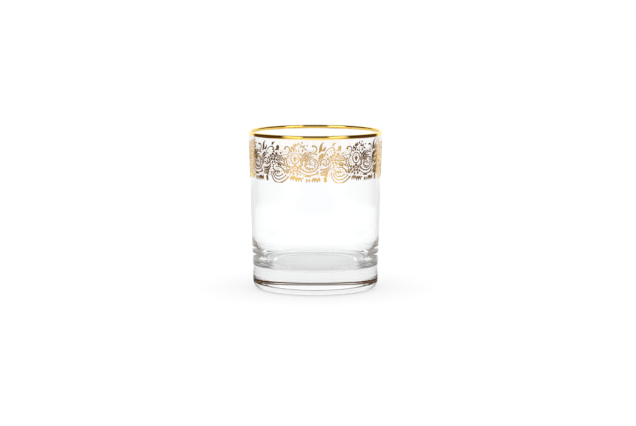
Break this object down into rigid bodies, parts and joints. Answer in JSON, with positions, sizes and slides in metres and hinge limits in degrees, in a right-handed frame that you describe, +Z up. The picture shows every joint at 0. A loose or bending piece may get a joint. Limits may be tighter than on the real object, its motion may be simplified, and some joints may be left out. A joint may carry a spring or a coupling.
{
  "type": "whisky glass",
  "caption": "Whisky tumbler of clear glass with a slightly conical wall, a thick heavy base, a gilded rim and a printed gold scroll frieze below it.",
  "frame": {"origin": "centre of the resting ring, on the table plane", "axes": "+Z up along the glass's axis, -Y towards the viewer in the picture, +X to the viewer's right"},
  "size_m": [0.0782, 0.0782, 0.0926],
  "materials": {
    "glass": "clear, polished",
    "gold": "bright fired gold"
  },
  "bodies": {
    "root": {"glass_body": "glass", "gold_rim": "gold", "frieze_scrolls_1": "gold", "frieze_scrolls_2": "gold", "frieze_scrolls_3": "gold", "frieze_scrolls_4": "gold", "frieze_leaves_1": "gold", "frieze_leaves_2": "gold", "frieze_leaves_3": "gold", "frieze_leaves_4": "gold", "frieze_flowers_1": "gold", "frieze_flowers_2": "gold", "frieze_flowers_3": "gold", "frieze_flowers_4": "gold", "frieze_medallion_1": "gold", "frieze_medallion_2": "gold", "frieze_medallion_3": "gold", "frieze_medallion_4": "gold", "frieze_garland_1": "gold", "frieze_garland_2": "gold", "frieze_garland_3": "gold", "frieze_garland_4": "gold"}
  },
  "joints": []
}
